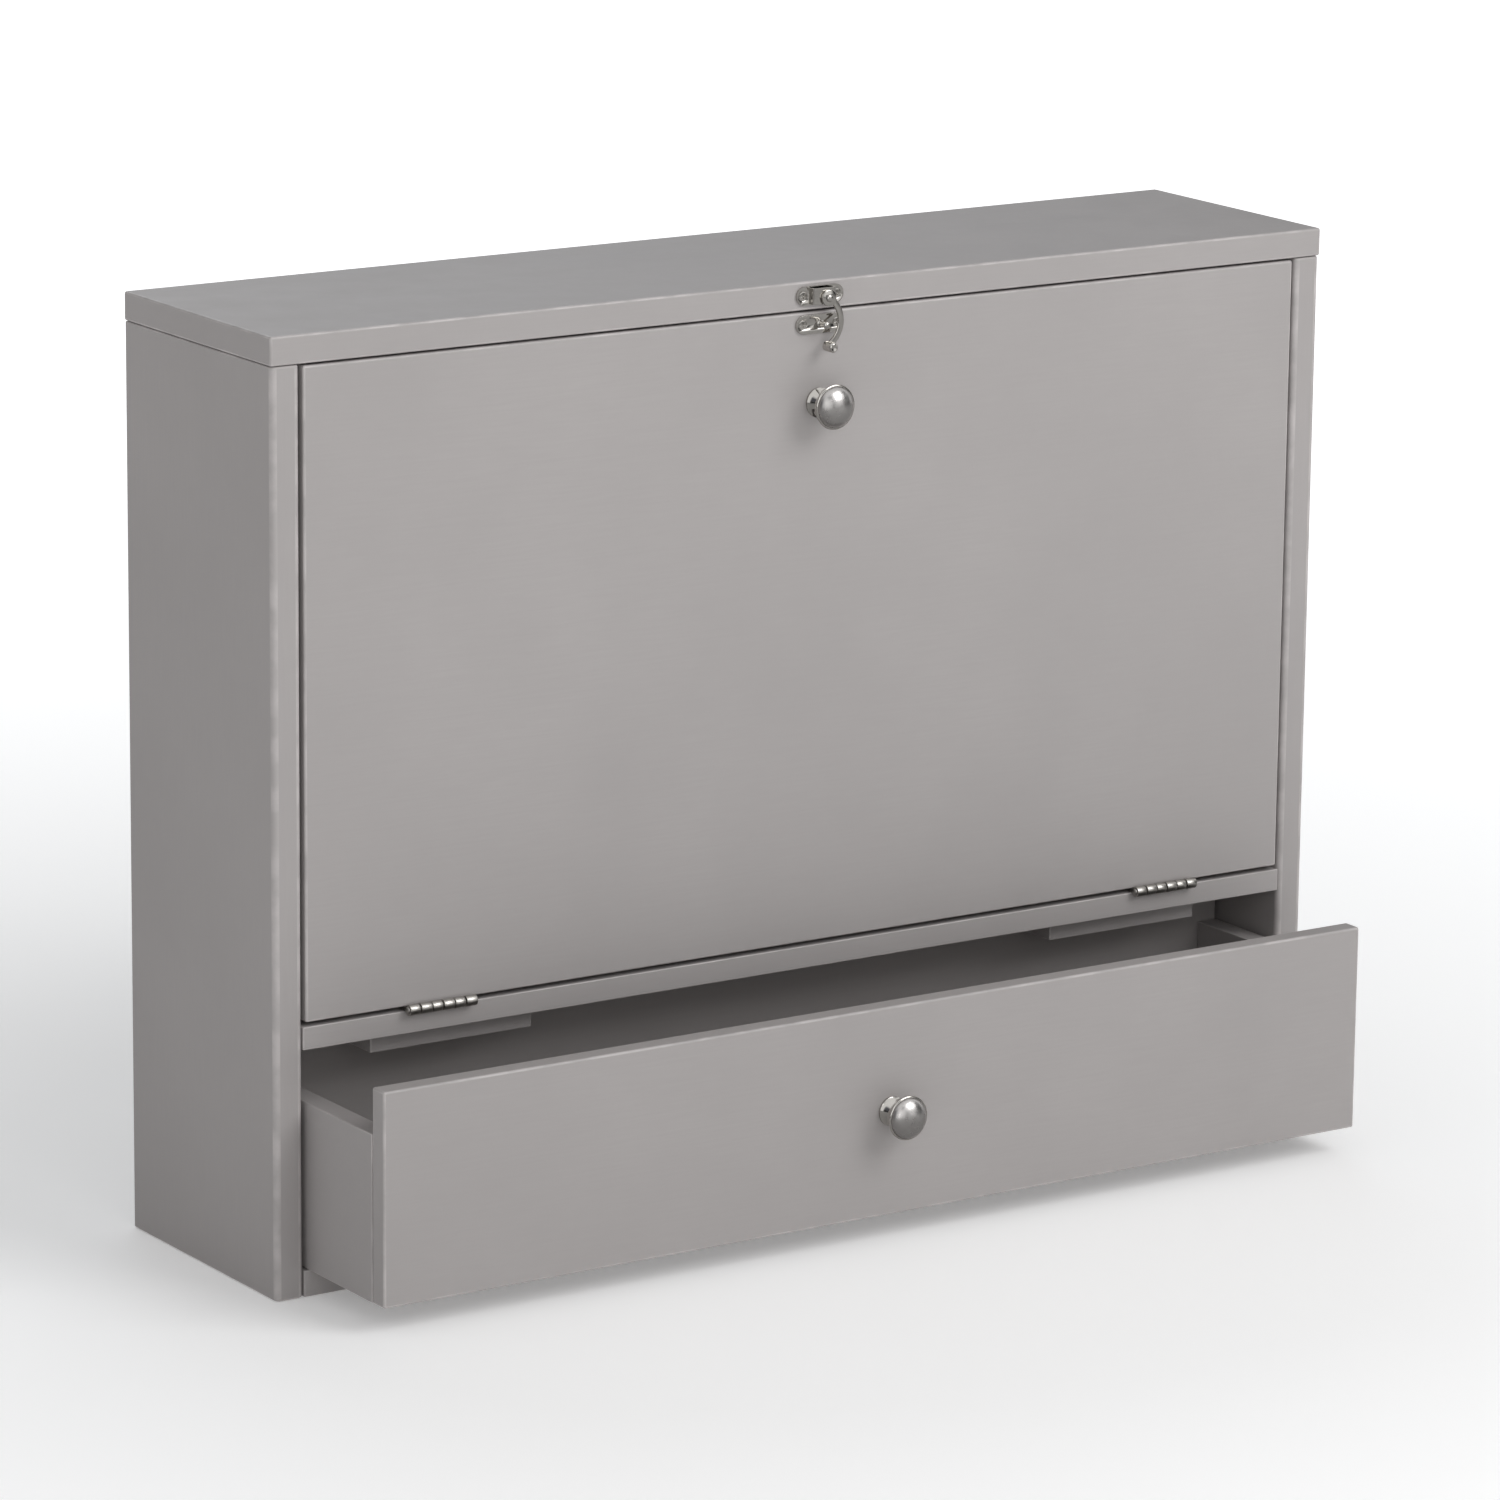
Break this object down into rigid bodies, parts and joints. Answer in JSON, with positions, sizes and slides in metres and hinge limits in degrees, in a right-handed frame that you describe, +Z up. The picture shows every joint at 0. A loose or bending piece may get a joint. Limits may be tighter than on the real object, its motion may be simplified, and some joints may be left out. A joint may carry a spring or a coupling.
{
  "type": "wall-mounted secretary desk",
  "caption": "Shallow painted wall desk with an inset drop-front writing flap on folding stays, a swing-hook latch at the top and a full-width drawer under a fixed shelf.",
  "frame": {"origin": "centre of the cabinet's flat underside", "axes": "+X across the width, to the right as seen from the front; -Y out of the front; +Z up"},
  "size_m": [0.648, 0.2476, 0.4958],
  "materials": {
    "paint": "satin warm grey paint on wood board",
    "polished_nickel": "polished nickel plate with satin faces",
    "satin_nickel": "satin nickel plate",
    "steel": "plated steel"
  },
  "bodies": {
    "cabinet": {"back_panel": "paint", "bottom_panel": "paint", "fixed_shelf": "paint", "latch_plate": "polished_nickel", "latch_plate_screw_1": "steel", "latch_plate_screw_2": "steel", "latch_rivet": "polished_nickel", "left_hinge_block": "paint", "left_hinge_lower_leaf": "satin_nickel", "left_hinge_lower_screw_1": "satin_nickel", "left_hinge_lower_screw_2": "satin_nickel", "left_hinge_pin": "satin_nickel", "left_side": "paint", "left_stay_wall_plate": "satin_nickel", "left_stay_wall_screw_1": "steel", "left_stay_wall_screw_2": "steel", "right_hinge_block": "paint", "right_hinge_lower_leaf": "satin_nickel", "right_hinge_lower_screw_1": "satin_nickel", "right_hinge_lower_screw_2": "satin_nickel", "right_hinge_pin": "satin_nickel", "right_side": "paint", "right_stay_wall_plate": "satin_nickel", "right_stay_wall_screw_1": "steel", "right_stay_wall_screw_2": "steel", "top_panel": "paint", "wall_rail": "paint"},
    "drop_front": {"catch_plate": "polished_nickel", "catch_plate_screw_1": "steel", "catch_plate_screw_2": "steel", "catch_post": "polished_nickel", "drop_front_knob": "polished_nickel", "drop_front_knob_screw": "steel", "drop_front_panel": "paint", "left_hinge_upper_leaf": "satin_nickel", "left_hinge_upper_screw_1": "satin_nickel", "left_hinge_upper_screw_2": "satin_nickel", "left_stay_door_bracket": "satin_nickel", "left_stay_door_screw_1": "steel", "left_stay_door_screw_2": "steel", "right_hinge_upper_leaf": "satin_nickel", "right_hinge_upper_screw_1": "satin_nickel", "right_hinge_upper_screw_2": "satin_nickel", "right_stay_door_bracket": "satin_nickel", "right_stay_door_screw_1": "steel", "right_stay_door_screw_2": "steel"},
    "latch_hook": {"latch_hook": "polished_nickel"},
    "drawer": {"drawer_back": "paint", "drawer_bottom": "paint", "drawer_front": "paint", "drawer_knob": "polished_nickel", "drawer_knob_screw": "steel", "drawer_left_side": "paint", "drawer_right_side": "paint"},
    "left_stay_rear": {"left_stay_elbow_rivet": "satin_nickel", "left_stay_rear_link": "satin_nickel"},
    "left_stay_front": {"left_stay_front_link": "satin_nickel"},
    "right_stay_rear": {"right_stay_elbow_rivet": "satin_nickel", "right_stay_rear_link": "satin_nickel"},
    "right_stay_front": {"right_stay_front_link": "satin_nickel"}
  },
  "joints": [
    {"name": "drop_front_hinge", "type": "hinge", "parent": "cabinet", "child": "drop_front", "pos_m": [0, -0.0781, 0.14315], "axis": [1, 0, 0], "range_deg": [0, 90]},
    {"name": "latch_hook_pivot", "type": "hinge", "parent": "cabinet", "child": "latch_hook", "pos_m": [0.0016, -0.0803, 0.4872], "axis": [0, -1, 0], "range_deg": [0, 100]},
    {"name": "drawer_slide", "type": "slide", "parent": "cabinet", "child": "drawer", "axis": [0, -1, 0], "range_m": [-0.076, 0.004]},
    {"name": "left_stay_rear_pivot", "type": "hinge", "parent": "cabinet", "child": "left_stay_rear", "pos_m": [-0.3045, 0.0319, 0.19315], "axis": [1, 0, 0], "range_deg": [0, 90]},
    {"name": "left_stay_front_pivot", "type": "hinge", "parent": "drop_front", "child": "left_stay_front", "pos_m": [-0.3025, -0.0531, 0.27115], "axis": [1, 0, 0], "range_deg": [-90, 0]},
    {"name": "right_stay_rear_pivot", "type": "hinge", "parent": "cabinet", "child": "right_stay_rear", "pos_m": [0.3045, 0.0319, 0.19315], "axis": [1, 0, 0], "range_deg": [0, 90]},
    {"name": "right_stay_front_pivot", "type": "hinge", "parent": "drop_front", "child": "right_stay_front", "pos_m": [0.3025, -0.0531, 0.27115], "axis": [1, 0, 0], "range_deg": [-90, 0]}
  ],
  "couplings": [
    {"joint": "left_stay_rear_pivot", "follows": "drop_front_hinge", "ratio": 1},
    {"joint": "left_stay_front_pivot", "follows": "drop_front_hinge", "ratio": -1},
    {"joint": "right_stay_rear_pivot", "follows": "drop_front_hinge", "ratio": 1},
    {"joint": "right_stay_front_pivot", "follows": "drop_front_hinge", "ratio": -1}
  ]
}
